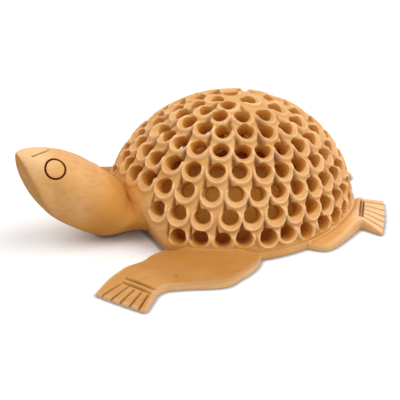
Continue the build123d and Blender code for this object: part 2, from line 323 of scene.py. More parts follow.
def knifeCuts():
    # each cut runs down from the rib between two windows to the edge of the window below it
    cuts = []
    for row in range(1, int(seatRow.max()) + 1):
        upper = np.where(seatRow == row)[0]
        lower = np.where(seatRow == row - 1)[0]
        for i in upper:
            apart = seatPlace[upper] - seatPlace[i]
            gaps = norm(apart, axis=1)
            gaps[apart @ seatSide[i] <= 0.5] = 99  # only neighbours on one side
            if gaps.min() > dome["cutReach"]:
                continue
            rib = (seatPlace[i] + seatPlace[upper[np.argmin(gaps)]]) / 2
            k = lower[np.argmin(norm(seatPlace[lower] - rib, axis=1))]
            offset = rib - seatPlace[k]
            aside, above = offset @ seatSide[k], offset @ seatUp[k]
            foot = holeTall[k] * sqrt(max(0, 1 - (aside / holeWide[k]) ** 2)) - 0.35
            head = above + dice.normal(0.5, 0.5)
            if head - foot < dome["cutLeast"]:
                continue
            start = seatPlace[k] + aside * seatSide[k] + head * seatUp[k]
            end = seatPlace[k] + aside * 0.85 * seatSide[k] + foot * seatUp[k]
            wide = dome["grooveWide"] * (1 + 0.2 * row) * (1 + dice.normal(0, 0.15))
            cuts.append((start, end, (dome["grooveNarrow"], wide, dome["grooveShallow"], dome["grooveDeep"])))
    return cuts


cuts = knifeCuts()
cutStart, cutEnd, cutSizes = (np.array(part) for part in zip(*cuts))


def carving(points):
    # depth of the relief at points of the dome, its painted shade in the knife cuts and under the lips, and its
    # painted highlight on the lip crests
    height, brown, paintedCrest = np.zeros((3, len(points)))
    batch = 4000  # points at a time, to spare memory
    for first in range(0, len(points), batch):
        some = slice(first, first + batch)
        p = points[some]
        x = p @ seatSide.T - (seatPlace * seatSide).sum(1)
        y = p @ seatUp.T - (seatPlace * seatUp).sum(1)
        near = (p @ seatOut.T - (seatPlace * seatOut).sum(1) > -6) & (np.abs(x) < 9) & (np.abs(y) < 10)
        x = x - leanAt(scoopLean, y)
        reach = np.sqrt((x / scoopWide) ** 2 + ((y + scoopShift) / scoopTall) ** 2)
        inside = 1 - reach
        ramp = (inside + np.sqrt(inside ** 2 + 0.035 ** 2)) / 2
        scoop = np.where(near, dome["scoopDeep"] * ramp ** 1.12, 0).max(1)
        beyond = np.maximum(0, -inside) * scoopTall
        lip = np.exp(-(beyond / dome["lipRun"]) ** 1.4) * smoothStep(2.8, 0.2, y)
        # painted shade on the wood just below each lip
        under = np.exp(-((beyond - 1) / 0.45) ** 2) * smoothStep(0.4, -2, y)
        lip = np.where(near, lip, 0).max(1)
        under = np.where(near, under, 0).max(1) * smoothStep(0.5, 0.15, lip)
        # painted highlight along each lip's crest
        crest = np.exp(-((reach - 1.02) * scoopTall / 0.36) ** 2) * smoothStep(2.6, 0.6, y)
        paintedCrest[some] = dome["crestHighlight"] * np.where(near, crest, 0).max(1)
        run = cutEnd - cutStart
        length2 = (run ** 2).sum(1)
        offset = p[:, None, :] - cutStart[None]
        t = np.clip((offset * run[None]).sum(2) / length2, 0, 1)
        gap = norm(offset - t[..., None] * run[None], axis=2)
        width = cutSizes[:, 0] + (cutSizes[:, 1] - cutSizes[:, 0]) * t ** 1.4
        deep = cutSizes[:, 2] + (cutSizes[:, 3] - cutSizes[:, 2]) * t
        groove = (deep * np.maximum(0, 1 - gap / width)).max(1)
        height[some] = -dome["lipStep"] * (1 - lip) - np.maximum(scoop, groove) - 0.3 * np.minimum(scoop, groove)
        # painted shade brown in the knife cuts, and below each lip
        brown[some] = np.maximum(np.clip(groove / 1.6, 0, dome["grooveShade"]), dome["underLipShade"] * under)
    return height, brown, paintedCrest


def toChart(n):
    flat = np.hypot(n[:, 0], n[:, 1])
    reach = np.arctan2(flat, n[:, 2]) * meanRadius
    return n[:, :2] / np.maximum(flat, 1e-9)[:, None] * reach[:, None]


def fromChart(chart):
    reach = np.hypot(chart[:, 0], chart[:, 1])
    theta = reach / meanRadius
    flat = chart / np.maximum(reach, 1e-9)[:, None] * np.sin(theta)[:, None]
    return np.column_stack([flat, np.cos(theta)])


def chartOf(points, half=domeHalf):
    n = points / half
    return toChart(n / norm(n, axis=1)[:, None])


def thinOut(groups, gaps):
    # keeps the points of each group that stay clear of all points kept before
    cell, kept, owner = 1.2, [], {}  # the cell is wider than any gap
    for group, gap in zip(groups, gaps):
        for point in group.tolist():
            u, v = int(point[0] // cell), int(point[1] // cell)
            if gap and any((point[0] - q[0]) ** 2 + (point[1] - q[1]) ** 2 < gap * gap
                           for i in (u - 1, u, u + 1) for j in (v - 1, v, v + 1) for q in owner.get((i, j), ())):
                continue
            owner.setdefault((u, v), []).append(point)
            kept.append(point)
    return np.array(kept)


rowShare = 0.866  # height of an even triangle


def evenGrid(low, high, spacing):
    # points in staggered rows
    rows, line = np.arange(low[1], high[1], spacing * rowShare), np.arange(low[0], high[0], spacing)
    return np.array([(x + spacing / 2 * (j % 2), y) for j, y in enumerate(rows) for x in line])


def triangulate(loops, groups, gaps):
    # triangles between closed loops of points, with groups of loose points, each kept clear of those before it
    points = thinOut([np.concatenate(loops)] + groups, [0] + gaps)
    edges, starts, start = [], [], 0
    for loop in loops:
        starts.append((start, len(loop)))
        edges += [(start + i, start + (i + 1) % len(loop)) for i in range(len(loop))]
        start += len(loop)
    _, _, faces, origins, _, _ = geometry.delaunay_2d_cdt([Vector(p) for p in points.tolist()], edges, [], 0, 1e-7)
    return points, np.array([[origins[v][0] for v in face] for face in faces]), starts


def beyondRing(points, centre, ring, slack):
    # which points lie outside a ring that goes round its centre
    angle = np.arctan2(ring[:, 1] - centre[1], ring[:, 0] - centre[0])
    order = np.argsort(angle)
    here = np.arctan2(points[:, 1] - centre[1], points[:, 0] - centre[0])
    edge = np.interp(here, angle[order], np.hypot(*(ring - centre).T)[order], period=2 * pi)
    return np.hypot(*(points - centre).T) > edge * slack


def clearOfHoles(points, centres, rings, slack):
    keep = np.ones(len(points), bool)
    for centre, ring in zip(centres, rings):
        close = np.where(np.hypot(*(points - centre).T) < 6)[0]
        keep[close] &= beyondRing(points[close], centre, ring, slack)
    return keep


def coverDome(rings, centres, extras, half, spacing):
    # triangles over the dome between the closed rings of the holes and the rim
    limit = acos(dome["rim"] / half[2]) * meanRadius
    turn = fullTurn(dome["rimSteps"])
    rimRing = np.column_stack([np.sin(turn), -np.cos(turn)]) * limit
    inside = []
    for extra in extras:
        extra = extra[np.hypot(*extra.T) < limit - 0.25]
        inside.append(extra[clearOfHoles(extra, centres, rings, 1.05)])
    grid = evenGrid((-limit, -limit), (limit + spacing, limit + spacing), spacing)
    grid = grid[np.hypot(*grid.T) < limit - spacing * 0.5]
    points, faces, starts = triangulate([rimRing] + rings, inside + [grid], [0.2] * len(inside) + [spacing * 0.62])
    return points, faces[clearOfHoles(points[faces].mean(1), centres, rings, 0.995)], starts


def ovalRing(index, wide, tall, shift, lean=0):
    turn = fullTurn(dome["ringSteps"])
    x = wide * np.cos(turn)
    y = tall * np.sin(turn) - shift
    x = x + leanAt(lean, y)
    return seatPlace[index] + x[:, None] * seatSide[index] + y[:, None] * seatUp[index]


def pressChest(places, setback, soft):
    places[:, 1] = smoothMax(places[:, 1], -setback - tanLean * places[:, 2], soft)
    return places


def makeShell():
    holeRings, scoopPoints, lipPoints = [], [], []
    for i in range(seatCount):
        hole = ovalRing(i, holeWide[i], holeTall[i], 0)
        lips = [ovalRing(i, scoopWide[i] + grow, scoopTall[i] + grow, scoopShift[i], scoopLean[i])
                for grow in (0, 0.28, 0.6, 1.0)]
        holeRings.append(chartOf(hole))
        scoopPoints += [chartOf(hole + (lips[0] - hole) * share) for share in (0.3, 0.6, 0.86)]
        lipPoints += [chartOf(lip) for lip in lips]
    cutPoints = []
    for start, end, (narrow, wide, _, _) in cuts:
        along = end - start
        length = norm(along)
        across = np.cross(along / length, unit(start))
        t = np.linspace(0, 1, max(4, int(length / 0.5)))
        width = narrow + (wide - narrow) * t ** 1.4
        for share in (0, 1, -1, 1.5, -1.5):
            cutPoints.append(chartOf(start + t[:, None] * along + (share * width)[:, None] * across))
    centres = chartOf(seatPlace)
    extras = [np.concatenate(group) for group in (cutPoints, lipPoints, scoopPoints)]
    chart, faces, loops = coverDome(holeRings, centres, extras, domeHalf, dome["outerSpacing"])
    n = fromChart(chart)
    height, brown, paintedCrest = carving(n * domeHalf)
    bearing = np.degrees(np.arctan2(np.abs(n[:, 0]), -n[:, 1]))
    legSpan = smoothStep(30, 44, bearing) * smoothStep(84, 70, bearing)
    # a plain band at the rim, taller over the front legs
    above = n[:, 2] * domeHalf[2]
    aboveRim = above - dome["rim"]
    rimFade = smoothStep(0, 1, (aboveRim - 0.1 - 1.8 * legSpan) / (1.5 + 1.7 * legSpan))
    # a plain collar round the neck, and shallower carving on the crown
    collar = smoothStep(9, 2, np.abs(n[:, 0] * domeHalf[0]) - 8) * smoothStep(26, 20, above) * (n[:, 1] < 0)
    crown = 1 - dome["crownCalm"] * smoothStep(44, 48, above)
    height = height * rimFade * crown * (1 - dome["collarCalm"] * collar) - 0.02
    paintedCrest = paintedCrest * rimFade * (1 - collar)
    # the plain rim band is coloured darker
    brown = np.maximum(brown, dome["rimTone"] * (1 - rimFade))
    out = n / domeHalf
    out = out / norm(out, axis=1)[:, None]
    outer = pressChest(n * domeHalf + out * height[:, None], dome["chestSetback"], dome["chestSoft"])
    # inside of the dome
    innerRings = []
    for i in range(seatCount):
        ring = ovalRing(i, holeWide[i] * dome["innerWide"], min(holeTall[i] * dome["innerTall"], roomBelow[i]), 0)
        innerRings.append(chartOf(ring - seatOut[i] * dome["wall"], hollowHalf))
    innerCentres = chartOf(seatPlace - seatOut * dome["wall"], hollowHalf)
    innerChart, innerFaces, innerLoops = coverDome(innerRings, innerCentres, [], hollowHalf, dome["innerSpacing"])
    m = fromChart(innerChart)
    inner = pressChest(m * hollowHalf, dome["chestSetback"] - dome["wall"], dome["chestSoft"])
    places = [outer, inner]
    faces = list(faces) + list(innerFaces[:, ::-1] + len(outer))
    overLegs = dome["legRaw"] * legSpan * smoothStep(13, 5, outer[:, 2])
    raws = [np.maximum(dome["collarRaw"] * collar, overLegs), np.ones(len(inner))]
    total = len(outer) + len(inner)
    for k, ((outStart, count), (inStart, _)) in enumerate(zip(loops, innerLoops)):
        mouth = np.arange(outStart, outStart + count)
        bottom = np.arange(inStart, inStart + count) + len(outer)
        rows = [mouth]
        if k:  # the first loop is the rim, the others are the holes
            for share in (0.1, 0.4, 0.72):
                wall = outer[mouth] * (1 - share) + inner[bottom - len(outer)] * share
                wall = wall - (wall - wall.mean(0)) * 0.05 * sin(pi * min(1, share * 1.6))
                places.append(wall)
                raws.append(np.full(count, min(1, 0.55 + share)))
                rows.append(np.arange(total, total + count))
                total += count
        rows.append(bottom)
        faces += stitch(rows, flip=k > 0)
    # the hole walls and the inside of the dome get a slight painted shade
    cut, paintedHighlight = np.full(total, dome["hollowShade"]), np.zeros(total)
    cut[:len(outer)], paintedHighlight[:len(outer)] = brown, paintedCrest
    makePiece("pierced_shell", ["shell"], np.concatenate(places), faces, cut, kadam,
              dome["creaseAngle"], np.concatenate(raws), paintedHighlight)


makeShell()


# Belly plate: the oval floor under the dome, its edge flush with the dome's rim

belly = {
    "levels": (0, 0.12, 0.4, 1.4, 2.5, 3.5), "edgeIn": (0.45, 0.13, 0, 0, 0, 0),
    "rings": (0.97, 0.86, 0.7, 0.5, 0.3, 0.12), "tone": 0.05, "creaseAngle": 50,
}


def domeRing(height, inset):
    turn = fullTurn(dome["rimSteps"])
    level = sqrt(1 - (height / dome["radius"]) ** 2)
    ring = np.column_stack([(dome["radius"] - inset) * level * np.sin(turn),
                            -(dome["halfLength"] - inset) * level * np.cos(turn), np.full(len(turn), height)])
    return pressChest(ring, dome["chestSetback"] - inset, dome["chestSoft"])


def makeBelly():
    rings = [domeRing(height, inset + 0.02) for height, inset in zip(belly["levels"], belly["edgeIn"])]
    top = rings[-1]
    rings += [top * (share, share, 1) - (0, 0, 0.05) for share in belly["rings"]]
    steps = dome["rimSteps"]
    rows = [np.arange(steps) + k * steps for k in range(len(rings))]
    faces = stitch(rows, flip=True) + [rows[0][::-1], rows[-1]]
    inside = np.repeat([0.0] * len(belly["levels"]) + [1.0] * len(belly["rings"]), steps)
    # the top of the plate, inside the hollow, gets a slight painted shade
    makePiece("belly_plate_floor", ["belly_plate"], np.concatenate(rings), faces, inside * belly["tone"], kadam,
              belly["creaseAngle"], inside)


makeBelly()


# Head and neck: a smooth pointed egg with a flat chin, a ring for each eye and two nostril cuts

head = {
    # place along the axis, then the section's middle (Y, Z), the rise of its axis, half width and half height
    "sections": [
        (-14, -42.4, 9.9, 15, 14.3, 8.1), (-8, -47.6, 9.5, 26, 13.9, 8.8), (0, -54.4, 9.4, 43, 13.28, 9.85),
    ],
    # further on along the last section's axis: the place, half width and half height
    "forms": [(4.3, 12.9, 11.15), (10.5, 12.42, 12.46), (17.3, 12.32, 12.83), (25.9, 11.85, 12.43),
              (33.3, 10.4, 10.59), (39.5, 8.1, 7.84), (43.4, 6.2, 5.63), (46.7, 3.9, 3.03),
              (48.3, 2.0, 1.4), (48.9, 0.9, 0.6)],
    "profile": [(0, -1), (0.3, -0.95), (0.55, -0.8), (0.88, -0.36), (1, 0.08), (0.82, 0.6), (0.44, 0.9), (0, 1)],
    "jawAlong": (12.6, 18.3, 24.9, 30.6, 35.0, 38.6, 43.3, 47.3, 49),
    "jawTurn": (15, 24, 34, 43, 49, 56, 62, 70, 78),
    "jawEdge": 0.14, "jawSpread": 26, "chinShade": 0.3, "neckShade": 0.22, "neckStain": 0.6, "snoutHighlight": 0.5,
    "eyeAlong": 36.3, "eyeTurn": 117, "eyeRadius": 3.95, "eyeLine": 0.43, "eyeDeep": 0.7, "eyeRingShade": 1.6,
    "nostril": ((45.0, 129), (43.3, 146), (39.2, 174)), "nostrilLine": 0.36, "nostrilDeep": 0.5,
    "nostrilShade": 0.75, "neckFlare": 2.2, "collarLine": 0.35,
    "spacing": 0.85, "girth": 11, "seamSteps": 90, "endSteps": 70, "creaseAngle": 40,
}
neckY, neckZ, neckRise = head["sections"][-1][1:4]
headRows = np.array(head["sections"] + [
    (along, neckY - along * cos(radians(neckRise)), neckZ + along * sin(radians(neckRise)), neckRise, wide, tall)
    for along, wide, tall in head["forms"]], float)


def softCurve(x, knots, values):
    # a smooth curve through the values at the knots
    slope = np.gradient(values, knots, axis=0)
    i = np.clip(np.searchsorted(knots, x) - 1, 0, len(knots) - 2)
    width = knots[i + 1] - knots[i]
    t = (x - knots[i]) / width
    if values.ndim > 1:
        t, width = t[:, None], width[:, None]
    ease = 2 * t ** 3 - 3 * t ** 2 + 1
    bend = (t ** 3 - 2 * t ** 2 + t) * slope[i] + (t ** 3 - t ** 2) * slope[i + 1]
    return ease * values[i] + (1 - ease) * values[i + 1] + width * bend


profile = np.array(head["profile"])
profileTurn = np.degrees(np.arctan2(profile[:, 0], -profile[:, 1]))
profileReach = np.hypot(profile[:, 0], profile[:, 1])


def headPoint(along, turn):
    # turn runs in degrees from the keel (0) over one cheek to the crown (180) and down the other
    half = np.where(turn > 180, 360 - turn, turn)
    row = softCurve(along, headRows[:, 0], headRows[:, 1:])
    reach = softCurve(half, profileTurn, profileReach)
    jaw = np.interp(along, head["jawAlong"], head["jawTurn"])
    strength = head["jawEdge"] * smoothStep(10, 32, along)
    reach = reach + strength * np.maximum(0, 1 - np.abs(half - jaw) / head["jawSpread"])
    x = reach * np.sin(np.radians(turn)) * row[:, 3]
    y = -reach * np.cos(np.radians(turn)) * row[:, 4]
    rise = np.radians(row[:, 2])
    return np.column_stack([x, row[:, 0] + y * np.sin(rise), row[:, 1] + y * np.cos(rise)])


def headNormal(along, turn):
    alongStep = headPoint(along + 0.05, turn) - headPoint(along - 0.05, turn)
    turnStep = headPoint(along, turn + 0.3) - headPoint(along, turn - 0.3)
    normal = np.cross(turnStep, alongStep)
    return normal / np.maximum(norm(normal, axis=1), 1e-9)[:, None]


def eyeMiddle(turn):
    return headPoint(np.array([head["eyeAlong"]]), np.array([turn]))


def ringOnHead(radius, turn, count):
    # places on the head at a true distance round the eye's middle
    eye = eyeMiddle(turn)
    angle = fullTurn(count)
    size = np.full(count, radius)
    for _ in range(8):
        along = head["eyeAlong"] + size * np.cos(angle)
        around = turn + size * np.sin(angle) * 5
        size = size * radius / norm(headPoint(along, around) - eye, axis=1)
    return np.column_stack([head["eyeAlong"] + size * np.cos(angle), around])


def makeHead():
    girth = head["girth"] * pi / 180
    first, last = headRows[0, 0], headRows[-1, 0]
    features, eyeTurns = [], (head["eyeTurn"], 360 - head["eyeTurn"])
    for turn in eyeTurns:
        for offset in (0, -0.22, 0.22, -0.42, 0.42, -0.6, 0.6):
            features.append(ringOnHead(head["eyeRadius"] + offset, turn, 90))
    nostrils = []
    for sign in (1, -1):
        ends = [(a, t if sign > 0 else 360 - t) for a, t in head["nostril"]]
        share = np.linspace(0, 2, 36)
        line = np.column_stack([np.interp(share, (0, 1, 2), [end[i] for end in ends]) for i in (0, 1)])
        nostrils.append(headPoint(line[:, 0], line[:, 1]))
        for offset in (0, -4, 4, -8, 8):
            features.append(line + (0, offset))
    jaw = np.linspace(13, 48.5, 90)
    for sign in (1, -1):
        turn = np.interp(jaw, head["jawAlong"], head["jawTurn"])
        features.append(np.column_stack([jaw, turn if sign > 0 else 360 - turn]))
    features = np.concatenate(features) * (1, girth)
    # the skin is laid out flat: along the axis, and once round from seam to seam
    width = 360 * girth
    seamSteps, endSteps = head["seamSteps"], head["endSteps"]
    farSide = seamSteps + endSteps
    seam = np.linspace(first, last, seamSteps)
    across = np.linspace(0, width, endSteps + 2)[1:-1]
    back = np.linspace(width, 0, endSteps + 2)[1:-1]
    border = np.concatenate([
        np.column_stack([seam, np.zeros(seamSteps)]), np.column_stack([np.full(endSteps, last), across]),
        np.column_stack([seam[::-1], np.full(seamSteps, width)]), np.column_stack([np.full(endSteps, first), back])])
    spacing = head["spacing"]
    alongs = np.arange(first, last, spacing * rowShare)
    grid = np.array([(a, (k + 0.5 * (j % 2)) * spacing) for j, a in enumerate(alongs)
                     for k in range(int(width / spacing) + 1)])
    margin = 0.3
    loose = [g[(g[:, 0] > first + margin) & (g[:, 0] < last - margin)
               & (g[:, 1] > margin) & (g[:, 1] < width - margin)] for g in (features, grid)]
    points, faces, _ = triangulate([border], loose, [0.12, spacing * 0.62])
    # the two sides of the seam are one line
    renumber = np.arange(len(points))
    renumber[farSide:farSide + seamSteps] = np.arange(seamSteps)[::-1]
    faces = renumber[faces]
    along, turn = points[:, 0], points[:, 1] / girth
    places = headPoint(along, turn)
    normal = headNormal(along, turn)
    relief, brown = np.zeros((2, len(points)))
    for turnOfEye in eyeTurns:
        off = np.abs(norm(places - eyeMiddle(turnOfEye), axis=1) - head["eyeRadius"]) / head["eyeLine"]
        relief -= head["eyeDeep"] * np.maximum(0, 1 - off) ** 0.7
        # painted shade in the eye ring's groove
        brown = np.maximum(brown, head["eyeRingShade"] * smoothStep(1.15, 0.55, off))
    half = np.minimum(turn, 360 - turn)
    # painted shade on the chin below the jaw line
    belowJaw = half - np.interp(along, head["jawAlong"], head["jawTurn"])
    chin = smoothStep(1.5, -1.5, belowJaw) * smoothStep(9, 16, along)
    brown = np.maximum(brown, head["chinShade"] * chin)
    # painted shade on the neck under the head
    brown = np.maximum(brown, head["neckShade"] * smoothStep(16, 2, along))
    for line in nostrils:
        off = norm(places[:, None] - line[None], axis=2).min(1) / head["nostrilLine"]
        relief -= head["nostrilDeep"] * np.maximum(0, 1 - off)
        # painted shade in the nostril cuts
        brown = np.maximum(brown, head["nostrilShade"] * smoothStep(1.2, 0.2, off))
    # the neck swells where it runs into the shell, with a soft collar line before it
    chest = -dome["chestSetback"] - tanLean * places[:, 2] - places[:, 1]
    relief += head["neckFlare"] * np.exp(-np.maximum(chest, 0) / 1.9)
    relief += head["collarLine"] * np.exp(-((chest - 4.2) / 0.7) ** 2) * smoothStep(70, 110, half)
    for i, place in enumerate(places):
        relief[i] += 0.1 * noise.noise(Vector(place) / 9) + 0.03 * noise.noise(Vector(place) / 2.6)
    places = places + normal * relief[:, None]
    places[:, 2] = np.maximum(places[:, 2], 0.3)
    tip = headPoint(np.array([last + 0.15]), np.array([90.0]))
    tip[0, 0] = 0
    count = len(places)
    places = np.concatenate([places, tip])
    tipRing = list(range(seamSteps - 1, farSide))
    faces = faces.tolist() + [(v, tipRing[(i + 1) % len(tipRing)], count) for i, v in enumerate(tipRing)]
    rootRing = [0] + [farSide + seamSteps + k for k in range(endSteps - 1, -1, -1)]
    faces.append(rootRing[::-1])
    used = sorted({v for face in faces for v in face})
    number = {v: i for i, v in enumerate(used)}
    faces = [[number[v] for v in face] for face in faces]
    stain = np.append(head["neckStain"] * smoothStep(19, 3, along), 0)
    # painted highlight on the snout's top, and on its tip
    pale = np.append(head["snoutHighlight"] * smoothStep(34, 45, along) * smoothStep(60, 96, half), 0.4)
    makePiece("head_and_neck", ["head"], places[used], faces, np.append(brown, 0)[used], kadam,
              head["creaseAngle"], stain[used], pale[used])


makeHead()


# Legs: flat paddles with a sawn edge, a sloping foot and knife cuts between the toes

frontLeg = {
    "outline": [  # counterclockwise from the neck side; a corner has a third number, its rounding in mm
        (30.2, -49.2), (33.1, -53.8), (35.3, -59.8), (37.3, -65.9), (39.6, -71.3), (44.0, -77.8, 0.9),
        (54.2, -72.2), (63.9, -66.3, 1.1), (57.9, -60.8), (54.2, -57.1), (52.8, -53.3, 1.6), (55.7, -44.7),
        (59.6, -35.4), (60.4, -30.2), (58.2, -25), (55.9, -19.5), (52.9, -14.8)],
    "root": (79, 36), "rootRise": 3.3,
    "toeStart": 0.5, "crossShares": (0.26, 0.41),
    "knot": (49.5, -47.5),
    "wrist": (45.6, -57.5), "ahead": (0.5, -0.866), "footLength": 16.8,
    "wristWidth": 16.5, "toeWidth": 23, "wristRise": 3.8, "wristSlope": -0.075, "toeRise": 1.5,
    "edge": 0.3, "armEdge": 0.3, "fillet": 4.6, "crease": 0, "rootSteps": 46,
    "stain": 0.4, "shade": 0.35, "pawShade": 0.22, "pale": 0,
}
# the right front leg points more to the side, with a straighter elbow
farLeg = dict(frontLeg, outline=[
    (35.6, -47.2), (42.2, -50.8), (48.8, -54.6), (52.6, -60.4), (58.8, -68.1, 0.9),
    (67.1, -60.0), (74.5, -51.3, 1.1), (67.6, -48.2), (63.2, -45.6), (58.6, -42.6, 1.6), (53.8, -37.0),
    (50.8, -31.0), (49.4, -24.4), (48.9, -18.0)],
    wrist=(54.4, -48.2), ahead=(0.731, -0.682), knot=None)
rearLeg = {
    "outline": [
        (51.4, 13.1), (53.4, 16.0), (52.9, 19.5), (50.8, 24.5), (47.9, 30), (44.9, 35.2), (43.4, 38.2, 0.9),
        (52.6, 42.3, 0.9), (41.0, 50.9), (28.4, 58.4, 1.0), (26.4, 48.4)],
    "root": (150, 101), "rootRise": 3.6,
    "toeStart": 0.21, "crossShares": (0.04, 0.16), "knot": None,
    "wrist": (34.4, 42.6), "ahead": (0.559, 0.829), "footLength": 9.4,
    "wristWidth": 20, "toeWidth": 28, "wristRise": 4.7, "wristSlope": 0.055, "toeRise": 1.6,
    "edge": 0.35, "armEdge": 1.9, "fillet": 0, "crease": 0.8, "rootSteps": 52,
    "stain": 0.15, "shade": 0, "pawShade": 0, "pale": 0.6,
}
foot = {
    "toeShares": (-0.38, -0.19, 0, 0.19, 0.38), "crossWidth": 0.76,
    "toeLine": 0.62, "crossLine": 0.8, "deep": 1.05, "cutTone": 0.8, "knotTone": 0.85,
    "underDome": 0.45,    # mm, how far the root reaches under the dome's rim
    "stain": 0.1, "sideHighlight": 0.3, "edgeHighlight": 0.55,
    "spacing": 1.0, "creaseAngle": 38,
}


def roundedOutline(points):
    # even samples along a smooth line through the points, with small arcs at the corners
    path = []
    count = len(points)
    isCorner = [len(p) > 2 for p in points]
    flat = np.array([p[:2] for p in points], float)
    for i in range(count):
        here, before, after = flat[i], flat[i - 1], flat[(i + 1) % count]
        if isCorner[i]:
            size = points[i][2]
            first, last = here + unit(before - here) * size, here + unit(after - here) * size
            path += [(1 - t) ** 2 * first + 2 * t * (1 - t) * here + t * t * last for t in np.linspace(0, 1, 6)]
        else:
            path.append(here)
        follow = (i + 1) % count
        start = path[-1]
        size = points[follow][2] if isCorner[follow] else 0
        end = flat[follow] + unit(here - flat[follow]) * size
        beyond = flat[(i + 2) % count]
        length = norm(end - start)
        tangentIn = unit(end - start if isCorner[i] else (after - before) / 2) * length
        tangentOut = unit(end - start if isCorner[follow] else (beyond - here) / 2) * length
        for t in np.linspace(0, 1, max(2, int(length / 0.55) + 1))[1:-1]:
            a, b = 2 * t ** 3 - 3 * t ** 2 + 1, t ** 3 - 2 * t ** 2 + t
            path.append(a * start + (1 - a) * end + b * tangentIn + (t ** 3 - t ** 2) * tangentOut)
    return np.array(path)


def toStretch(points, start, end):
    # the share of the way from start to end at which each point lies, and its distance
    run = end - start
    t = np.clip(((points - start) @ run) / max(run @ run, 1e-12), 0, 1)
    return t, norm(points - start - t[:, None] * run, axis=1)


def distanceTo(points, line):
    # distance of points to a broken line that closes on itself
    best = np.full(len(points), 99.0)
    for start, end in zip(line, np.roll(line, -1, axis=0)):
        best = np.minimum(best, toStretch(points, start, end)[1])
    return best


def insideLine(points, line):
    odd = np.zeros(len(points), bool)
    for (ax, ay), (bx, by) in zip(line, np.roll(line, -1, axis=0)):
        crosses = (ay > points[:, 1]) != (by > points[:, 1])
        odd ^= crosses & (points[:, 0] < (bx - ax) * (points[:, 1] - ay) / (by - ay + 1e-12) + ax)
    return odd


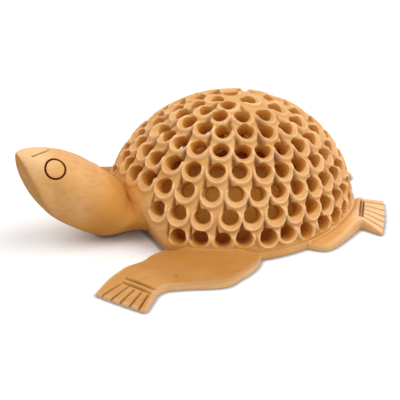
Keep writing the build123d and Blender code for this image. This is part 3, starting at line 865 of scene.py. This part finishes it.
def makeLeg(name, form, side):
    rootTurns = np.radians(np.linspace(form["root"][0], form["root"][1], form["rootSteps"]))
    root = np.column_stack([(dome["radius"] - foot["underDome"]) * np.sin(rootTurns),
                            -(dome["halfLength"] - foot["underDome"]) * np.cos(rootTurns)])
    smooth = roundedOutline([tuple(root[-1]) + (0.3,)] + form["outline"] + [tuple(root[0]) + (0.3,)])
    # the last stretch of the smooth line is the chord under the dome: the rim takes its place
    firstRoot = int(np.argmin(norm(smooth - root[0], axis=1)))
    outline = np.concatenate([smooth[:firstRoot + 1], root[1:-1]])
    outline = outline[norm(outline - np.roll(outline, 1, axis=0), axis=1) > 0.12]
    wrist, ahead = np.array(form["wrist"]), np.array(form["ahead"])
    outward = np.array([ahead[1], -ahead[0]]) if form is rearLeg else np.array([-ahead[1], ahead[0]])
    cuts = []
    for share in foot["toeShares"]:
        start = wrist + outward * share * form["wristWidth"] + ahead * form["toeStart"] * form["footLength"]
        end = wrist + ahead * (form["footLength"] + 1.2) + outward * share * form["toeWidth"]
        cuts.append((start + dice.normal(0, 0.12, 2), end + dice.normal(0, 0.12, 2), foot["toeLine"], 0))
    for share in form["crossShares"]:
        middle = wrist + ahead * share * form["footLength"]
        half = outward * foot["crossWidth"] * form["wristWidth"] / 2
        first, last = middle - half + dice.normal(0, 0.1, 2), middle + half + dice.normal(0, 0.1, 2)
        cuts.append((first, last, foot["crossLine"], 1))
    features = []
    for start, end, width, _ in cuts:
        run = end - start
        length = norm(run)
        across = np.array([-run[1], run[0]]) / length
        t = np.linspace(-0.6 / length, 1, int(length / 0.45))[:, None]
        for offset in (0, -0.5, 0.5, -1, 1, -1.5, 1.5):
            features.append(start + run * t + across * width * offset)
    features = np.concatenate(features)
    tangent = np.roll(outline, -1, axis=0) - np.roll(outline, 1, axis=0)
    inwardNormal = np.column_stack([-tangent[:, 1], tangent[:, 0]]) / norm(tangent, axis=1)[:, None]
    inward = [outline + inwardNormal * form["armEdge"] * share for share in (0.08, 0.3, 0.62, 1)]
    low, high = outline.min(0), outline.max(0)
    spacing = foot["spacing"]
    groups = []
    for group, gap in ((features, 0.1), (np.concatenate(inward), 0.04), (evenGrid(low, high, spacing), 0.35)):
        group = group[insideLine(group, outline)]
        groups.append(group[distanceTo(group, outline) > gap])
    points, faces, _ = triangulate([outline], groups, [0.13, 0.13, spacing * 0.6])
    faces = faces[insideLine(points[faces].mean(1), outline)]
    # the top: level arm, foot sloping down to the toes
    along = (points - wrist) @ ahead
    across = (points - wrist) @ outward
    wristRise = form["wristRise"] + form["wristSlope"] * across
    arm = form["rootRise"] + (wristRise - form["rootRise"]) * np.exp(-(np.minimum(along, 0) / 8) ** 2)
    paw = wristRise + (form["toeRise"] - wristRise) * np.clip(along / form["footLength"], 0, 1.05)
    top = np.where(along > 0, paw, arm)
    fromDome = (np.hypot(points[:, 0] / dome["radius"], points[:, 1] / dome["halfLength"]) - 1) * meanRadius
    if form["fillet"]:
        size = form["fillet"]
        near = np.clip(fromDome, 0.3, size)
        bearing = np.degrees(np.arctan2(points[:, 0], -points[:, 1]))
        rearEnd, frontEnd = form["root"]
        fade = smoothStep(frontEnd, frontEnd + 9, bearing) * smoothStep(rearEnd, rearEnd - 14, bearing)
        top = top + fade * (size - np.sqrt(size ** 2 - (size - near) ** 2))
    if form["crease"]:
        top = top - form["crease"] * np.maximum(0, 1 - np.abs(fromDome - 0.5) / 1.1)
        top = top + 0.35 * np.exp(-((fromDome - 2.6) / 1.3) ** 2)
    onArm = smoothStep(2, -8, along)
    stain = foot["stain"] + form["stain"] * onArm * (0.4 + 0.6 * smoothStep(14, 2, fromDome))
    brown = form["pawShade"] + (form["shade"] - form["pawShade"]) * onArm
    # the foot gets a painted highlight where the leg sets pale
    paintedHighlight = form["pale"] * (1 - onArm)
    # the edge is rounded over, less on the foot, not at all under the dome
    size = form["armEdge"] + (form["edge"] - form["armEdge"]) * smoothStep(-6, 0, along)
    size = np.where(fromDome < 1.5, 0.05 + (size - 0.05) * smoothStep(0, 1.5, fromDome), size)
    fromEdge = distanceTo(points, outline)
    toEdge = np.minimum(fromEdge, size)
    roundOver = size - np.sqrt(np.maximum(0, size ** 2 - (size - toEdge) ** 2))
    top = top - np.minimum(roundOver, top * 0.6)
    for start, end, width, kind in cuts:
        t, off = toStretch(points, start, end)
        wide = width * (0.85 + 0.35 * t) if kind == 0 else width * (0.6 + 0.4 * np.sin(pi * t))
        cutIn = np.maximum(0, 1 - off / wide)
        top = top - foot["deep"] * cutIn * (1 if kind else 0.85)
        # painted shade in the toe and wrist cuts
        brown = np.maximum(brown, foot["cutTone"] * smoothStep(0.05, 0.8, cutIn))
    if form["knot"]:
        off = np.hypot(*(points - form["knot"]).T / np.array([[0.85], [0.6]]))
        brown = np.maximum(brown, foot["knotTone"] * smoothStep(1.1, 0.4, off))
        top = top - 0.25 * smoothStep(1.2, 0.3, off)
    for i, point in enumerate(points):
        spot = Vector((point[0], point[1], 0))
        top[i] += (0.1 * noise.noise(spot / 7) + 0.035 * noise.noise(spot / 2.2)) * min(1, toEdge[i] / 0.3)
    top = np.maximum(top, 0.5)
    places = np.column_stack([points, top])
    count = len(outline)
    layers, rows = [places], [np.arange(count)]
    for share, inset in ((0.6, 0), (0.25, 0), (0.07, 0.04), (0, 0.25)):
        ring = places[:count] * (1, 1, share)
        ring[:, :2] += inwardNormal * inset
        rows.append(np.arange(count) + sum(len(layer) for layer in layers))
        layers.append(ring)
    faces = list(faces) + stitch(rows, flip=True) + [rows[-1][::-1]]
    places = np.concatenate(layers)
    if side < 0:
        places = places * (-1, 1, 1)
        faces = [face[::-1] for face in faces]
    # the side faces and the band along their top edge carry a painted highlight
    paintedHighlight = np.maximum(paintedHighlight, foot["edgeHighlight"] * smoothStep(0.7, 0.15, fromEdge))
    cut, raw, paintedHighlight = (np.append(values, np.full(4 * count, below)) for values, below in (
        (brown, 0), (stain, foot["stain"]), (paintedHighlight, foot["sideHighlight"])))
    makePiece(name + "_paddle", [name + "_leg"], places, faces, cut, kadam, foot["creaseAngle"], raw, paintedHighlight)


for sideName, side in (("left", 1), ("right", -1)):
    makeLeg("front_" + sideName, frontLeg if side > 0 else farLeg, side)
    makeLeg("rear_" + sideName, rearLeg, side)


# Tail: a short pointed stub behind the rim

tail = {
    # place behind the start, half width, half height and the middle's height
    "start": 52.3, "sections": [(0, 5.2, 2.1, 2.5), (1.6, 4.7, 2.0, 2.4), (3.4, 3.9, 1.8, 2.2),
                                (5.2, 2.8, 1.4, 1.8), (6.6, 1.6, 0.95, 1.35), (7.5, 0.7, 0.5, 1.1)],
    "steps": 40, "creaseAngle": 50,
}


def makeTail():
    turn = fullTurn(tail["steps"])
    rings = [np.column_stack([
        wide * np.cos(turn), np.full(len(turn), tail["start"] + along), middle + tall * np.sin(turn)])
        for along, wide, tall, middle in tail["sections"]]
    rows = [np.arange(tail["steps"]) + k * tail["steps"] for k in range(len(rings))]
    faces = stitch(rows) + [rows[0], rows[-1][::-1]]
    places = np.concatenate(rings)
    makePiece("tail_stub", ["tail"], places, faces, np.zeros(len(places)), kadam, tail["creaseAngle"])


makeTail()


bpy.context.view_layer.update()


# Camera, floor and light

view = {"azimuth": 63, "elevation": 27, "distance": 560, "lens": 120, "shiftX": -0.0725, "shiftY": 0.0125}


def directionTo(azimuth, elevation):
    turn, rise = radians(azimuth), radians(elevation)
    return Vector((sin(turn) * cos(rise), -cos(turn) * cos(rise), sin(rise)))


back = directionTo(view["azimuth"], view["elevation"])
cameraData = bpy.data.cameras.new("camera")
cameraData.lens = view["lens"]
cameraData.shift_x, cameraData.shift_y = view["shiftX"], view["shiftY"]
cameraData.clip_start = 0.01
camera = addObject("camera", cameraData)
camera.location = back * view["distance"] * mm
camera.rotation_euler = back.to_track_quat("Z", "Y").to_euler()
scene.camera = camera
scene.view_settings.view_transform = "Standard"

studio = {
    "sky": 0.78,            # level of the even studio light
    "key": (1.3, 140, 52, 50),    # strength, azimuth, elevation, softness in degrees
    "fill": (0.4, 10, 60, 40),
    "paperSeen": 1.0,       # the paper's white as the camera sees it
    "contact": 2.0,         # mm, how far the painted contact shadow reaches
    "contactTone": (0.40, 0.45, 0.50), "contactFade": 3, "open": (0.4, 0.98),
    "paperGrey": 0.6,       # the paper's tone for the light that it throws back
    "floorReach": 4, "floorDrop": 0.05,  # m and mm
}
world = bpy.data.worlds.new("studio")
scene.world = world
world.use_nodes = True
sky = world.node_tree
sky.nodes.clear()
rays = addNode(sky, "LightPath")
seen = rays.outputs["Is Camera Ray"]
for kind in ("Is Transmission Ray", "Is Glossy Ray"):
    seen = addNode(sky, "Math", operation="MAXIMUM", links={0: seen, 1: rays.outputs[kind]})
level = addNode(sky, "MapRange", inputs={"To Min": studio["sky"], "To Max": 1}, links={"Value": seen})
glow = addNode(sky, "Background", inputs={"Color": (1, 1, 1, 1)}, links={"Strength": level})
addNode(sky, "OutputWorld", links={"Surface": glow})

for name in ("key", "fill"):
    strength, turn, rise, soft = studio[name]
    lamp = bpy.data.lights.new(name, "SUN")
    lamp.energy = strength
    lamp.angle = radians(soft)
    addObject(name, lamp).rotation_euler = directionTo(turn, rise).to_track_quat("Z", "Y").to_euler()

floorMesh = bpy.data.meshes.new("floor")
reach = studio["floorReach"]
corners = [(x * reach, y * reach, 0) for x, y in ((-1, -1), (1, -1), (1, 1), (-1, 1))]
floorMesh.from_pydata(corners, [], [(0, 1, 2, 3)])
floor = addObject("floor", floorMesh)
floor.location.z = -studio["floorDrop"] * mm
whitePaper, paperTree = emptyMaterial("whitePaper")
# the camera sees the floor with a painted contact shadow, darker where an occlusion mask finds the object close
paperRays = addNode(paperTree, "LightPath")
paperNear = addNode(paperTree, "AmbientOcclusion", inputs={"Distance": studio["contact"] * mm})
paperOpen = addNode(paperTree, "MapRange", inputs={
    "From Min": studio["open"][0], "From Max": studio["open"][1]}, links={"Value": paperNear.outputs["AO"]})
paperFade = addNode(paperTree, "Math", operation="POWER", inputs={1: studio["contactFade"]}, links={0: paperOpen})
paperWithPaintedShadow = addNode(paperTree, "Mix", data_type="RGBA", inputs={
    6: (*studio["contactTone"], 1), 7: (*[studio["paperSeen"]] * 3, 1)}, links={"Factor": paperFade})
paperColour = addNode(paperTree, "Mix", data_type="RGBA", inputs={
    6: (*[studio["paperGrey"]] * 3, 1)}, links={"Factor": paperRays.outputs["Is Camera Ray"], 7: paperWithPaintedShadow.outputs[2]})
paper = addNode(paperTree, "BsdfPrincipled", inputs={"Roughness": 0.9, "Specular IOR Level": 0},
                links={"Base Color": paperColour.outputs[2]})
addNode(paperTree, "OutputMaterial", links={"Surface": paper})
floorMesh.materials.append(whitePaper)
print("stage ready")
